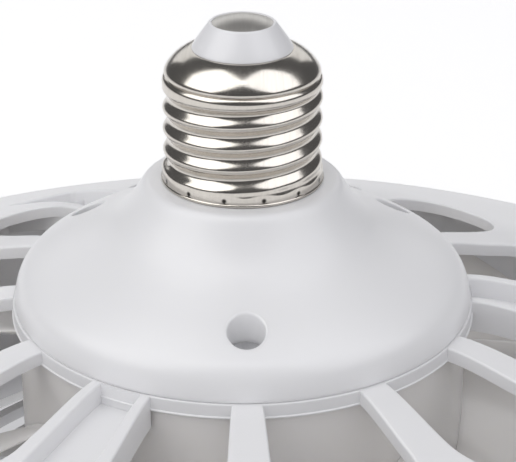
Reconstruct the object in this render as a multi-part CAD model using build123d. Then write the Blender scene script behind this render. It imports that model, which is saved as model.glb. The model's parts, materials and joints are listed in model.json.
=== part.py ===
from build123d import *
import os
from math import radians, sin, tan

# A screw-base lamp with a fan inside, cap upwards, lying on its light ring.
# Millimetres, +Z up, origin in the middle of the underside.
# Plain ribs and wire channels stand every 30 degrees; +X looks along a channel.

# Clearances
SEAT_GAP = 0.15          # play round a piece that is held by its flat faces
RUN_GAP = 0.8            # play between the fan's hub and the guard
SHAFT_GAP = 0.04         # running fit of the shaft in its bearings
TIP_GAP = 2.0            # play between blade tips and duct
AIR_GAP = 0.6            # motor air gap

# Guard with hub plate and ribs, and the light ring that carries it
LAMP_R = 130.0           # outer radius of the light ring
RING_EDGE_Z = 19.76      # ring's flank at the outer radius, before the edge is rounded
WALL = 2.2
PLATE_R = 39.5
PLATE_T = 2.4
PLATE_HOLE_R = 6.0
RIB_COUNT = 12
CHANNEL_EVERY = 4        # every fourth rib is a wire channel
RIB_HALF_ANGLE = 3.6
RIB_T = 2.4
RIB_DROP = 1.5           # rib top below the plate's top, where the two meet
RIB_SLOPE = 0.065        # fall of a rib at the plate
RING_SLOPE = 0.417       # fall of the ring's straight flank
RIB_RUN = 28.4           # length over which the slope grows from one to the other
RIB_ROOT = 0.6           # depth of a rib's root in the plate
VENT_R = 61.0            # outer end of the air openings
VENT_ROUNDNESS = 0.92    # 1 would make the outer end a full half circle
CHANNEL_HALF_ANGLE = 7.8
CHANNEL_WALL_ANGLE = 2.6
CHANNEL_DEPTH = 3.6
CHANNEL_FLOOR = 2.0
CHANNEL_END = 6.0        # reach of a channel past the duct wall
NOTCH_PLAY = 0.2         # angle left free beside a channel in the light ring
WIRE_HOLE_R = 1.7
EDGE_R = 7.0             # rounded outer edge of the ring
DUCT_R = 76.0            # inner radius of the fan duct
LEDGE_W = 5.5            # ledge in the duct for the grille's screws
LEDGE_T = 3.0

# Screws: head, shank and how deep the shank goes
SCREW_R = 1.5
HEAD_R = 2.7
HEAD_H = 1.9
BOSS_R = 3.3
PILOT_DEPTH = 5.0

# Canopy, a bell with three sunk screw wells
CANOPY_OVERHANG = 0.1    # canopy's rim past the hub plate
CANOPY_WALL = 2.0
NECK_H = 20.5            # neck top above the rim
NECK_R = 16.3
NECK_EDGE = 1.0
BELL_R = 31.0            # point half way up the bell
BELL_H = 8.1
WAIST_R = 20.0           # point where the bell turns up into the neck
WAIST_H = 14.9
WELL_R = 3.1
WELL_WALL = 1.4
WELL_FLOOR_H = 3.0       # screw seat above the rim
WELL_CIRCLE_R = 31.0
WELL_COUNT = 3
WELL_START_ANGLE = 30.0
COLLAR_H = 3.0           # collar that the cap is crimped on
COLLAR_T = 2.6

# Screw cap, 27 mm Edison thread
SKIRT_R = 13.3
SKIRT_H = 2.9
SHELL_WALL = 0.6
THREAD_R = 13.1
THREAD_DEPTH = 1.0
THREAD_PITCH = 3.62
THREAD_CRESTS = 4
FIRST_CREST_H = 6.2      # lowest crest above the neck
LIP_R = 8.2              # top of the shoulder
SHOULDER_H = 5.4         # shoulder above the last crest
SHOULDER_BULGE = 1.05    # how far the shoulder swells out of a straight cone
LIP_HOLE_R = 6.6
INSULATOR_H = 4.8
INSULATOR_STEM = 3.0
CONTACT_R = 4.95
CONTACT_T = 0.6
CONTACT_DOME = 0.5
CONTACT_LAND = 0.25      # edge of the insulator left round the contact

# Driver
BOARD_T = 1.6
DRIVER_R = 24.5
DRIVER_LIFT = 4.0        # driver board above the hub plate
POST_R = 2.4
POST_CIRCLE_R = 21.0
TRANSFORMER = (13.0, 13.0, 8.5)
TRANSFORMER_X = -8.5
TRANSFORMER_FLANGE = 1.2
CAPACITOR_R = 4.0
CAPACITOR_H = 9.0
CAPACITOR_X = 9.0

# Motor
SHAFT_R = 2.46
BEARING_R = 5.5
BEARING_H = 4.0
BEARING_LIP = 1.4        # lip that parts the two bearing seats
TUBE_WALL = 1.7
BASE_R = 14.0
BASE_T = 2.0
BASE_SCREW_R = 11.3
STATOR_TOP = 11.5        # stator below the plate's underside
STATOR_H = 11.0
TEETH = 12
TOOTH_W = 3.2
SHOE_T = 2.4
SHOE_ANGLE = 22.0
YOKE_T = 4.6
COIL_T = 1.5
MAGNET_T = 2.6
MAGNET_RISE = 1.0        # magnet above the stator
CUP_T = 1.2
CUP_RISE = 3.0           # steel cup above the magnet
SHOULDER_R = 4.0         # collar on the shaft that the cup sits against
SHOULDER_T = 2.7
END_PLAY = 0.3
CLIP_R = 4.0
CLIP_T = 0.8
GROOVE = 0.5             # depth of the clip's groove in the shaft
NUT_FLAT = 8.0
NUT_T = 4.0
TUBE_H = 24.6            # bearing tube below the plate

# Fan
HUB_R = 38.2
HUB_WALL = 2.0
HUB_FLOOR = 2.2
HUB_SKIRT = 2.6          # hub wall below its floor
BLADES = 7
BLADE_START_ANGLE = 41.4
BLADE_T = 1.6
BLADE_TOP_HUB = 13.0     # blade edges below the rim, at hub and tip
BLADE_TOP_TIP = 19.5
BLADE_LOW_HUB = 35.5
BLADE_LOW_TIP = 34.0
BLADE_SPAN_HUB = 44.0    # angle that a blade covers, at hub and tip
BLADE_SPAN_TIP = 40.0
BLADE_CAMBER = 2.2

# Outlet grille
GRILLE_Z = 2.6
GRILLE_T = 2.4
GRILLE_RIM = 5.0
GRILLE_DISC_R = 26.0
GRILLE_RINGS = 5
GRILLE_BAR = 2.0
GRILLE_SPOKES = 12
GRILLE_SCREWS = 3

# Light
DIFFUSER_T = 2.0
DIFFUSER_LIP = 0.6       # ring wall seen beside the diffuser's edge
DIFFUSER_EDGE_R = 1.2
LOCATOR_H = 6.0
LOCATOR_T = 1.6
LIGHT_BOARD_DROP = 6.76  # light board's underside below the flank's outer level
LIGHT_BOARD_GAP = 4.0
LIGHT_BOARD_SCREWS = 6
CHIP = (3.5, 2.8, 0.8)
CHIP_CIRCLES = 2
CHIPS_PER_CIRCLE = 30

# Levels and radii that follow
PITCH_ANGLE = 360.0 / RIB_COUNT
FLANK_R = PLATE_R + RIB_RUN
FLANK_Z = RING_EDGE_Z + RING_SLOPE * (LAMP_R - FLANK_R)
RIM_Z = FLANK_Z + RIB_RUN * (RIB_SLOPE + RING_SLOPE) / 2 + RIB_DROP
PLATE_LOW = RIM_Z - PLATE_T
RIB_INNER_R = PLATE_R - RIB_ROOT
CANOPY_R = PLATE_R + CANOPY_OVERHANG
DUCT_OUT_R = DUCT_R + WALL
CHANNEL_END_R = DUCT_OUT_R + CHANNEL_END
GUARD_R = CHANNEL_END_R + WALL
RING_TOP_R = GUARD_R + SEAT_GAP
RING_IN_R = LAMP_R - WALL
LIGHT_BOARD_Z = RING_EDGE_Z - LIGHT_BOARD_DROP
NECK_Z = RIM_Z + NECK_H
LAST_CREST_Z = NECK_Z + FIRST_CREST_H + (THREAD_CRESTS - 1) * THREAD_PITCH
LIP_Z = LAST_CREST_Z + SHOULDER_H
CONTACT_Z = LIP_Z + INSULATOR_H
WELL_FLOOR_Z = RIM_Z + WELL_FLOOR_H
DRIVER_Z = RIM_Z + DRIVER_LIFT
TUBE_R = BEARING_R + SEAT_GAP + TUBE_WALL
TUBE_LOW = PLATE_LOW - TUBE_H
CLIP_Z = PLATE_LOW - BASE_T + END_PLAY
CUP_FLOOR_Z = TUBE_LOW - END_PLAY - SHOULDER_T
HUB_FLOOR_Z = CUP_FLOOR_Z - CUP_T
HUB_LOW = HUB_FLOOR_Z - HUB_FLOOR
CUP_R = HUB_R - HUB_WALL - SEAT_GAP
MAGNET_R = CUP_R - CUP_T - SEAT_GAP
STATOR_R = MAGNET_R - MAGNET_T - AIR_GAP
STATOR_Z = PLATE_LOW - STATOR_TOP - STATOR_H
BLADE_R = DUCT_R - TIP_GAP
LEDGE_Z = GRILLE_Z + GRILLE_T
GRILLE_R = DUCT_R - SEAT_GAP
LIGHT_MID_R = (DUCT_OUT_R + RING_IN_R) / 2
BELOW = RIM_Z            # enough depth for cuts that go right through


def disc(radius, low, high):
    """Round bar on the axis between two levels."""
    return Pos(0, 0, low) * Cylinder(radius, high - low, align=(Align.CENTER, Align.CENTER, Align.MIN))


def tube(outer, inner, low, high):
    """Round tube on the axis between two levels."""
    return disc(outer, low, high) - disc(inner, low, high)


def turned(*edges):
    """Solid of revolution of a closed outline drawn in radius and height."""
    return revolve(Plane.XZ * make_face(list(edges)), Axis.Z)


def turned_outline(*points):
    """Solid of revolution of a straight-sided outline."""
    return turned(Polyline(*points, close=True))


def sector(face, middle, half_angle):
    """Part of a turned shape, given by its section in radius and height."""
    return Rot(0, 0, middle - half_angle) * revolve(Plane.XZ * face, Axis.Z, 2 * half_angle)


def spread(shape, count, radius=0.0, start=0.0):
    """Copies of a shape at even steps round the axis."""
    return [place * shape for place in PolarLocations(radius, count, start)]


def group(shapes):
    """Separate solids that share one node."""
    return Compound([solid for shape in shapes for solid in shape.solids()])


def screw(seat, tip):
    """Pan-head screw whose head bears on seat and whose shank ends at tip."""
    up = 1 if seat > tip else -1
    shank = disc(SCREW_R, min(seat, tip), max(seat, tip))
    head = disc(HEAD_R, min(seat, seat + up * HEAD_H), max(seat, seat + up * HEAD_H))
    crown = head.edges().filter_by(GeomType.CIRCLE).sort_by(Axis.Z)[-1 if up > 0 else 0]
    return fillet(crown, HEAD_H / 3) + shank


def is_channel(index):
    """True for the ribs that carry a wire channel."""
    return index % CHANNEL_EVERY == 0


def top_line(drop, inner, outer):
    """Top of ribs and ring, lowered by drop: a parabola that runs out into a straight flank."""
    start_z = RIM_Z - RIB_DROP - drop
    flank_z = FLANK_Z - drop
    bend = (PLATE_R + RIB_RUN / 2, start_z - RIB_SLOPE * RIB_RUN / 2)
    edges = [
        Bezier((PLATE_R, start_z), bend, (FLANK_R, flank_z)),
        Line((FLANK_R, flank_z), (outer, flank_z - RING_SLOPE * (outer - FLANK_R))),
    ]
    if inner < PLATE_R:
        edges.insert(0, Line((inner, start_z + RIB_SLOPE * (PLATE_R - inner)), (PLATE_R, start_z)))
    return edges


def band_face(top_drop, low_drop, inner, outer):
    """Section between two lowered copies of the top line."""
    upper = top_line(top_drop, inner, outer)
    lower = top_line(low_drop, inner, outer)
    ends = [Line(upper[0] @ 0, lower[0] @ 0), Line(upper[-1] @ 1, lower[-1] @ 1)]
    return make_face(upper + lower + ends)


def flank_point(radius, drop):
    """Point of the straight flank at a radius, lowered by drop."""
    return (radius, FLANK_Z - drop - RING_SLOPE * (radius - FLANK_R))


def vent(start, end):
    """Air opening between two ribs, with a rounded outer end."""
    middle = (start + end) / 2
    near = [Vector(RIB_INNER_R - RIB_ROOT, 0).rotate(Axis.Z, a) for a in (start, middle, end)]
    far = [Vector(VENT_R, 0).rotate(Axis.Z, a) for a in (start, middle, end)]
    face = make_face([
        ThreePointArc(*near),
        Line(near[2], far[2]),
        ThreePointArc(*far),
        Line(far[0], near[0]),
    ])
    corners = [face.vertices().sort_by_distance(point)[0] for point in (far[0], far[2])]
    taper = sin(radians((end - start) / 2))
    full_round = VENT_R * taper / (1 + taper)
    face = fillet(corners, VENT_ROUNDNESS * full_round)
    return Pos(0, 0, RIM_Z - BELOW) * extrude(face, 2 * BELOW)


def vents():
    """All air openings."""
    shapes = []
    for index in range(RIB_COUNT):
        half = [CHANNEL_HALF_ANGLE if is_channel(i) else RIB_HALF_ANGLE for i in (index, index + 1)]
        shapes.append(vent(index * PITCH_ANGLE + half[0], (index + 1) * PITCH_ANGLE - half[1]))
    return shapes


def channel_middles():
    """Angles of the wire channels."""
    return [index * PITCH_ANGLE for index in range(0, RIB_COUNT, CHANNEL_EVERY)]


def channel_blocks():
    """Deep ribs with a floor, which the wire channels are sunk into."""
    face = band_face(RIB_T / 2, CHANNEL_DEPTH + CHANNEL_FLOOR, RIB_INNER_R, CHANNEL_END_R)
    return [sector(face, angle, CHANNEL_HALF_ANGLE) for angle in channel_middles()]


def channel_cuts():
    """The hollow of each wire channel, with a hole into the light chamber at its end."""
    face = band_face(-RIB_T, CHANNEL_DEPTH, PLATE_R, CHANNEL_END_R - WALL)
    half = CHANNEL_HALF_ANGLE - CHANNEL_WALL_ANGLE
    hole = Pos(DUCT_OUT_R + CHANNEL_END / 2 - WALL / 2, 0, 0) * disc(WIRE_HOLE_R, 0, RIM_Z)
    cuts = [sector(face, angle, half) for angle in channel_middles()]
    return cuts + [Rot(0, 0, angle) * hole for angle in channel_middles()]


def top_guard():
    """Hub plate, ribs and wire channels, moulded in one piece that lies in the light ring."""
    shell = sector(band_face(0, RIB_T, RIB_INNER_R, GUARD_R), PITCH_ANGLE / 2, 180)
    guard = shell - vents() + channel_blocks() - channel_cuts()
    plate = tube(PLATE_R, PLATE_HOLE_R, PLATE_LOW, RIM_Z)
    boss = disc(BOSS_R, PLATE_LOW - PILOT_DEPTH, PLATE_LOW)
    post = disc(POST_R, RIM_Z, DRIVER_Z)
    plate += spread(boss, WELL_COUNT, WELL_CIRCLE_R, WELL_START_ANGLE)
    plate += spread(post, WELL_COUNT, POST_CIRCLE_R, -WELL_START_ANGLE)
    pilot = SCREW_R + SEAT_GAP
    holes = spread(disc(pilot, PLATE_LOW - PILOT_DEPTH, RIM_Z), WELL_COUNT, WELL_CIRCLE_R, WELL_START_ANGLE)
    holes += spread(disc(pilot, PLATE_LOW, RIM_Z), WELL_COUNT, BASE_SCREW_R, -WELL_START_ANGLE)
    holes += spread(disc(pilot, RIM_Z, DRIVER_Z), WELL_COUNT, POST_CIRCLE_R, -WELL_START_ANGLE)
    return guard + plate - holes


def ring_section():
    """Section of the light ring: duct wall, seat for the guard, flank and rounded outer wall."""
    corner = flank_point(LAMP_R, 0)
    inner_corner = flank_point(RING_IN_R, RIB_T)
    face = make_face(Polyline(
        (DUCT_R, DIFFUSER_T), flank_point(DUCT_R, RIB_T),
        flank_point(RING_TOP_R, RIB_T), flank_point(RING_TOP_R, 0),
        corner, (LAMP_R, DIFFUSER_T), (RING_IN_R, DIFFUSER_T), inner_corner,
        flank_point(RING_TOP_R + WALL, RIB_T), flank_point(RING_TOP_R + WALL, RIB_T + WALL),
        flank_point(DUCT_OUT_R, RIB_T + WALL), (DUCT_OUT_R, DIFFUSER_T), close=True))
    face = fillet(face.vertices().sort_by_distance(corner)[0], EDGE_R)
    return fillet(face.vertices().sort_by_distance(inner_corner)[0], EDGE_R - WALL)


def light_ring():
    """Ring-shaped housing of the light and the fan, with notches for the guard's channels."""
    ring = revolve(Plane.XZ * ring_section(), Axis.Z)
    ring += tube(DUCT_R + WALL / 2, DUCT_R - LEDGE_W, LEDGE_Z, LEDGE_Z + LEDGE_T)
    boss = disc(BOSS_R, LIGHT_BOARD_Z + BOARD_T, RIM_Z)
    under = turned_outline(
        (DUCT_R, 0), (LAMP_R, 0), flank_point(LAMP_R, RIB_T / 2), flank_point(DUCT_R, RIB_T / 2))
    ring += [shape & under for shape in spread(boss, LIGHT_BOARD_SCREWS, LIGHT_MID_R, PITCH_ANGLE / 2)]
    notch = band_face(RIB_T, CHANNEL_DEPTH + CHANNEL_FLOOR + SEAT_GAP, RIB_INNER_R, CHANNEL_END_R + SEAT_GAP)
    ring -= [sector(notch, angle, CHANNEL_HALF_ANGLE + NOTCH_PLAY) for angle in channel_middles()]
    pilot = SCREW_R + SEAT_GAP
    ledge_hole = disc(pilot, LEDGE_Z, LEDGE_Z + LEDGE_T)
    ring -= spread(ledge_hole, GRILLE_SCREWS, DUCT_R - LEDGE_W / 2, WELL_START_ANGLE)
    light_hole = disc(pilot, LIGHT_BOARD_Z, LIGHT_BOARD_Z + BOARD_T + PILOT_DEPTH)
    return ring - spread(light_hole, LIGHT_BOARD_SCREWS, LIGHT_MID_R, PITCH_ANGLE / 2)


def bell_line(inset):
    """Outside of the bell from rim to neck, or its inside at a wall's distance."""
    points = [(CANOPY_R, RIM_Z), (BELL_R, RIM_Z + BELL_H), (WAIST_R, RIM_Z + WAIST_H)]
    points.append((NECK_R + NECK_EDGE / 2, NECK_Z - NECK_EDGE))
    line = Spline(*points, tangents=[(0, 1), (-NECK_EDGE / 2, NECK_EDGE)])
    if inset == 0:
        return line
    stations = [i / len(points) / 2 for i in range(2 * len(points) + 1)]
    inner = [line @ s + (line % s).rotate(Axis.Z, 90) * inset for s in stations]
    return Spline(*inner)


def canopy():
    """Bell-shaped cover with three sunk screw wells and a collar for the cap."""
    line = bell_line(0)
    edge = ThreePointArc(line @ 1, (NECK_R, NECK_Z - NECK_EDGE / 4), (NECK_R - NECK_EDGE, NECK_Z))
    solid = turned(line, edge, Polyline(edge @ 1, (0, NECK_Z), (0, RIM_Z), line @ 0))
    inside = bell_line(CANOPY_WALL)
    roof = NECK_Z - CANOPY_WALL
    hollow_outline = Polyline(inside @ 1, (0, (inside @ 1).Y), (0, RIM_Z), inside @ 0)
    hollow = turned(inside, hollow_outline)
    well_boss = disc(WELL_R + WELL_WALL, RIM_Z, NECK_Z)
    bosses = [shape & solid for shape in spread(well_boss, WELL_COUNT, WELL_CIRCLE_R, WELL_START_ANGLE)]
    collar_r = SKIRT_R - SHELL_WALL - SEAT_GAP
    shell = solid - hollow + bosses + disc(collar_r, roof, NECK_Z + COLLAR_H)
    wells = spread(disc(WELL_R, WELL_FLOOR_Z, NECK_Z), WELL_COUNT, WELL_CIRCLE_R, WELL_START_ANGLE)
    holes = spread(disc(SCREW_R + SEAT_GAP, RIM_Z, NECK_Z), WELL_COUNT, WELL_CIRCLE_R, WELL_START_ANGLE)
    return shell - wells - holes - disc(collar_r - COLLAR_T, RIM_Z, NECK_Z + COLLAR_H)


def thread_line(inset):
    """Side of the screw cap from skirt to lip: crest and root arcs, then the shoulder."""
    crest = THREAD_R - inset
    root = crest - THREAD_DEPTH
    middle = (crest + root) / 2
    quarter = THREAD_PITCH / 4
    first = NECK_Z + FIRST_CREST_H
    skirt = SKIRT_R - inset
    edges = [Polyline((skirt, NECK_Z), (skirt, NECK_Z + SKIRT_H), (middle, first - 3 * quarter))]
    for index in range(THREAD_CRESTS):
        level = first + index * THREAD_PITCH
        edges.append(ThreePointArc(
            (middle, level - 3 * quarter), (root, level - 2 * quarter), (middle, level - quarter)))
        if index < THREAD_CRESTS - 1:
            edges.append(ThreePointArc((middle, level - quarter), (crest, level), (middle, level + quarter)))
    rise = sin(radians(45)) * THREAD_DEPTH / 2
    edges.append(ThreePointArc(
        (middle, LAST_CREST_Z - quarter), (middle + rise, LAST_CREST_Z - quarter / 2), (crest, LAST_CREST_Z)))
    lip = (LIP_R, LIP_Z - inset)
    half_way = ((crest + LIP_R) / 2 + SHOULDER_BULGE, (LAST_CREST_Z + LIP_Z - inset) / 2 + SHOULDER_BULGE)
    edges.append(ThreePointArc((crest, LAST_CREST_Z), half_way, lip))
    return edges


def screw_shell():
    """Thin metal cap with the screw thread's waves, open below and holed at the top."""
    outside = thread_line(0)
    inside = thread_line(SHELL_WALL)
    lip = Polyline(outside[-1] @ 1, (LIP_HOLE_R, LIP_Z), (LIP_HOLE_R, LIP_Z - SHELL_WALL), inside[-1] @ 1)
    foot = Line(inside[0] @ 0, outside[0] @ 0)
    return turned(*outside, *inside, lip, foot)


def cap_insulator():
    """Pale cone between shell and contact, with a stem through the shell's top."""
    stem_r = LIP_HOLE_R - SEAT_GAP
    return turned_outline(
        (0, LIP_Z - INSULATOR_STEM), (stem_r, LIP_Z - INSULATOR_STEM), (stem_r, LIP_Z),
        (LIP_R, LIP_Z), (CONTACT_R + CONTACT_LAND, CONTACT_Z), (0, CONTACT_Z))


def contact_plate():
    """Domed foot contact at the tip."""
    rim = CONTACT_Z + CONTACT_T
    ball_r = (CONTACT_R**2 + CONTACT_DOME**2) / (2 * CONTACT_DOME)
    ball = Pos(0, 0, rim + CONTACT_DOME - ball_r) * Sphere(ball_r)
    return disc(CONTACT_R, CONTACT_Z, rim + 2 * CONTACT_DOME) & ball


def canopy_screws():
    """Screws in the canopy's wells."""
    return group(spread(screw(WELL_FLOOR_Z, PLATE_LOW - PILOT_DEPTH / 2), WELL_COUNT, WELL_CIRCLE_R, WELL_START_ANGLE))


def driver_board():
    """Round circuit board on the hub plate's posts."""
    holes = spread(disc(SCREW_R + SEAT_GAP, DRIVER_Z, DRIVER_Z + BOARD_T), WELL_COUNT, POST_CIRCLE_R, -WELL_START_ANGLE)
    return disc(DRIVER_R, DRIVER_Z, DRIVER_Z + BOARD_T) - holes


def driver_screws():
    """Screws that hold the driver board."""
    top = DRIVER_Z + BOARD_T
    return group(spread(screw(top, RIM_Z), WELL_COUNT, POST_CIRCLE_R, -WELL_START_ANGLE))


def power_transformer():
    """Wound block with the flanges of its bobbin."""
    width, depth, height = TRANSFORMER
    base = (Align.CENTER, Align.CENTER, Align.MIN)
    flange = Box(width, depth, TRANSFORMER_FLANGE, align=base)
    core = Box(width - 2 * TRANSFORMER_FLANGE, depth - 2 * TRANSFORMER_FLANGE, height, align=base)
    block = core + flange + Pos(0, 0, height - TRANSFORMER_FLANGE) * flange
    return Pos(TRANSFORMER_X, 0, DRIVER_Z + BOARD_T) * block


def filter_capacitor():
    """Can capacitor standing on the driver board."""
    low = DRIVER_Z + BOARD_T
    can = disc(CAPACITOR_R, low, low + CAPACITOR_H)
    can = fillet(can.edges().filter_by(GeomType.CIRCLE), CAPACITOR_R / 8)
    return Pos(CAPACITOR_X, 0, 0) * can


def motor_base():
    """Flanged tube under the hub plate that holds bearings and stator."""
    seat_r = BEARING_R + SEAT_GAP
    lip_r = seat_r - BEARING_LIP
    base = disc(BASE_R, PLATE_LOW - BASE_T, PLATE_LOW) + disc(TUBE_R, TUBE_LOW, PLATE_LOW)
    base += disc(TUBE_R + TUBE_WALL, PLATE_LOW - STATOR_TOP, PLATE_LOW)
    base -= disc(lip_r, TUBE_LOW, PLATE_LOW)
    base -= disc(seat_r, PLATE_LOW - BASE_T - BEARING_H, PLATE_LOW)
    base -= disc(seat_r, TUBE_LOW, TUBE_LOW + BEARING_H)
    hole = disc(SCREW_R + SEAT_GAP, PLATE_LOW - BASE_T, PLATE_LOW)
    return base - spread(hole, WELL_COUNT, BASE_SCREW_R, -WELL_START_ANGLE)


def motor_screws():
    """Screws through the hub plate into the motor base."""
    return group(spread(screw(RIM_Z, PLATE_LOW - BASE_T), WELL_COUNT, BASE_SCREW_R, -WELL_START_ANGLE))


def motor_bearings():
    """Two ball bearings, each as one closed ring."""
    bore = SHAFT_R + SHAFT_GAP
    top = PLATE_LOW - BASE_T
    upper = tube(BEARING_R, bore, top - BEARING_H, top)
    lower = tube(BEARING_R, bore, TUBE_LOW, TUBE_LOW + BEARING_H)
    return group([upper, lower])


def stator_core():
    """Laminated stack with wound teeth and curved pole shoes."""
    bore = TUBE_R + SEAT_GAP
    yoke = Circle(bore + YOKE_T)
    reach = STATOR_R - SHOE_T / 2 - bore
    tooth = Rectangle(reach, TOOTH_W, align=(Align.MIN, Align.CENTER))
    shoe_ring = Circle(STATOR_R) - Circle(STATOR_R - SHOE_T)
    far = 2 * STATOR_R
    spread_y = far * tan(radians(SHOE_ANGLE / 2))
    wedge = make_face(Polyline((0, 0), (far, -spread_y), (far, spread_y), close=True))
    section = yoke + spread(tooth, TEETH, bore) + spread(shoe_ring & wedge, TEETH)
    return Pos(0, 0, STATOR_Z) * extrude(section - Circle(bore), STATOR_H)


def stator_windings():
    """Coils, one round each tooth."""
    inner = TUBE_R + SEAT_GAP + YOKE_T + COIL_T / 2
    outer = STATOR_R - SHOE_T - COIL_T / 2
    base = (Align.MIN, Align.CENTER, Align.CENTER)
    body = Box(outer - inner, TOOTH_W + 2 * COIL_T, STATOR_H + 2 * COIL_T, align=base)
    body = fillet(body.edges().filter_by(Axis.X), COIL_T / 2)
    window = Box(outer - inner, TOOTH_W + 2 * SEAT_GAP, STATOR_H + 2 * SEAT_GAP, align=base)
    coil = Pos(0, 0, STATOR_Z + STATOR_H / 2) * (body - window)
    return group(spread(coil, TEETH, inner))


def motor_shaft():
    """Turning shaft with the collar that the cup sits against."""
    shaft = disc(SHAFT_R, HUB_LOW - NUT_T, PLATE_LOW)
    shaft -= tube(CLIP_R, SHAFT_R - GROOVE, CLIP_Z, CLIP_Z + CLIP_T + SEAT_GAP)
    return shaft + disc(SHOULDER_R, CUP_FLOOR_Z, CUP_FLOOR_Z + SHOULDER_T)


def shaft_clip():
    """Snap ring that keeps the shaft from dropping out of the upper bearing."""
    ring = tube(CLIP_R, SHAFT_R - GROOVE + SEAT_GAP, CLIP_Z, CLIP_Z + CLIP_T)
    mouth = Pos(CLIP_R, 0, CLIP_Z) * Box(2 * CLIP_R, SHAFT_R, 2 * CLIP_T)
    return ring - mouth


def rotor_cup():
    """Pressed steel cup that closes the magnet's field."""
    high = STATOR_Z + STATOR_H + MAGNET_RISE + CUP_RISE
    cup = disc(CUP_R, HUB_FLOOR_Z, high) - disc(CUP_R - CUP_T, CUP_FLOOR_Z, high)
    return cup - disc(SHAFT_R + SEAT_GAP, HUB_FLOOR_Z, CUP_FLOOR_Z)


def rotor_magnet():
    """Magnet ring standing on the cup's floor."""
    return tube(MAGNET_R, MAGNET_R - MAGNET_T, CUP_FLOOR_Z, STATOR_Z + STATOR_H + MAGNET_RISE)


def rotor_nut():
    """Hexagon nut that holds hub and cup on the shaft."""
    hexagon = RegularPolygon(NUT_FLAT / 2, 6, major_radius=False) - Circle(SHAFT_R + SEAT_GAP)
    return Pos(0, 0, HUB_LOW - NUT_T) * extrude(hexagon, NUT_T)


def blade_section(distance, span, top, low):
    """Cambered strip across a blade, drawn on a plane square to the radius."""
    half = distance * sin(radians(span / 2))
    start = Vector(-half, RIM_Z - low)
    end = Vector(half, RIM_Z - top)
    across = (end - start).normalized().rotate(Axis.Z, 90)
    faces = []
    for side in (-1, 1):
        bulge = (start + end) / 2 + across * (BLADE_CAMBER + side * BLADE_T / 2)
        faces.append(ThreePointArc(start + across * side * BLADE_T / 4, bulge, end + across * side * BLADE_T / 4))
    ends = [Line(faces[0] @ 0, faces[1] @ 0), Line(faces[0] @ 1, faces[1] @ 1)]
    plane = Plane(origin=(distance, 0, 0), x_dir=(0, 1, 0), z_dir=(1, 0, 0))
    return plane * make_face(faces + ends)


def blade():
    """Twisted blade, lofted from inside the hub past the tip circle and trimmed to both."""
    root = HUB_R - 4 * HUB_WALL
    sections = [
        blade_section(root, BLADE_SPAN_HUB, BLADE_TOP_HUB, BLADE_LOW_HUB),
        blade_section(BLADE_R, BLADE_SPAN_TIP, BLADE_TOP_TIP, BLADE_LOW_TIP),
    ]
    strip = loft(sections, ruled=True)
    return (strip & disc(BLADE_R, 0, RIM_Z)) - disc(HUB_R - HUB_WALL / 2, 0, RIM_Z)


def fan_rotor():
    """Hub cup and blades, moulded in one piece."""
    hub = disc(HUB_R, HUB_LOW - HUB_SKIRT, PLATE_LOW - RUN_GAP)
    hub -= disc(HUB_R - HUB_WALL, HUB_FLOOR_Z, PLATE_LOW)
    hub -= disc(HUB_R - HUB_WALL, HUB_LOW - HUB_SKIRT, HUB_LOW)
    hub -= disc(SHAFT_R + SEAT_GAP, 0, PLATE_LOW)
    return hub + spread(blade(), BLADES, 0, BLADE_START_ANGLE)


def outlet_grille():
    """Round bars and spokes across the duct's lower end."""
    section = Circle(GRILLE_R) - Circle(GRILLE_R - GRILLE_RIM) + Circle(GRILLE_DISC_R)
    step = (GRILLE_R - GRILLE_RIM - GRILLE_DISC_R) / (GRILLE_RINGS + 1)
    for index in range(GRILLE_RINGS):
        radius = GRILLE_DISC_R + (index + 1) * step
        section += Circle(radius + GRILLE_BAR / 2) - Circle(radius - GRILLE_BAR / 2)
    spoke = Rectangle(GRILLE_R - GRILLE_RIM / 2, GRILLE_BAR, align=(Align.MIN, Align.CENTER))
    section += spread(spoke, GRILLE_SPOKES)
    section -= spread(Circle(SCREW_R + SEAT_GAP), GRILLE_SCREWS, DUCT_R - LEDGE_W / 2, WELL_START_ANGLE)
    return Pos(0, 0, GRILLE_Z) * extrude(section, GRILLE_T)


def grille_screws():
    """Screws that hold the grille to the duct's ledge."""
    return group(spread(screw(GRILLE_Z, LEDGE_Z + LEDGE_T), GRILLE_SCREWS, DUCT_R - LEDGE_W / 2, WELL_START_ANGLE))


def light_board():
    """Ring-shaped metal-core board for the light chips."""
    board = tube(RING_IN_R - LIGHT_BOARD_GAP, DUCT_OUT_R + LIGHT_BOARD_GAP, LIGHT_BOARD_Z, LIGHT_BOARD_Z + BOARD_T)
    hole = disc(SCREW_R + SEAT_GAP, LIGHT_BOARD_Z, LIGHT_BOARD_Z + BOARD_T)
    return board - spread(hole, LIGHT_BOARD_SCREWS, LIGHT_MID_R, PITCH_ANGLE / 2)


def board_screws():
    """Screws that hold the light board to the ring's bosses."""
    tip = LIGHT_BOARD_Z + BOARD_T + PILOT_DEPTH
    return group(spread(screw(LIGHT_BOARD_Z, tip), LIGHT_BOARD_SCREWS, LIGHT_MID_R, PITCH_ANGLE / 2))


def light_chips():
    """Light chips in circles on the board's underside."""
    chip = Pos(0, 0, LIGHT_BOARD_Z) * Box(*CHIP, align=(Align.CENTER, Align.CENTER, Align.MAX))
    width = RING_IN_R - DUCT_OUT_R - 2 * LIGHT_BOARD_GAP
    chips = []
    for index in range(CHIP_CIRCLES):
        radius = DUCT_OUT_R + LIGHT_BOARD_GAP + width * (index + 0.5) / CHIP_CIRCLES
        chips += spread(chip, CHIPS_PER_CIRCLE, radius)
    return group(chips)


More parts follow.
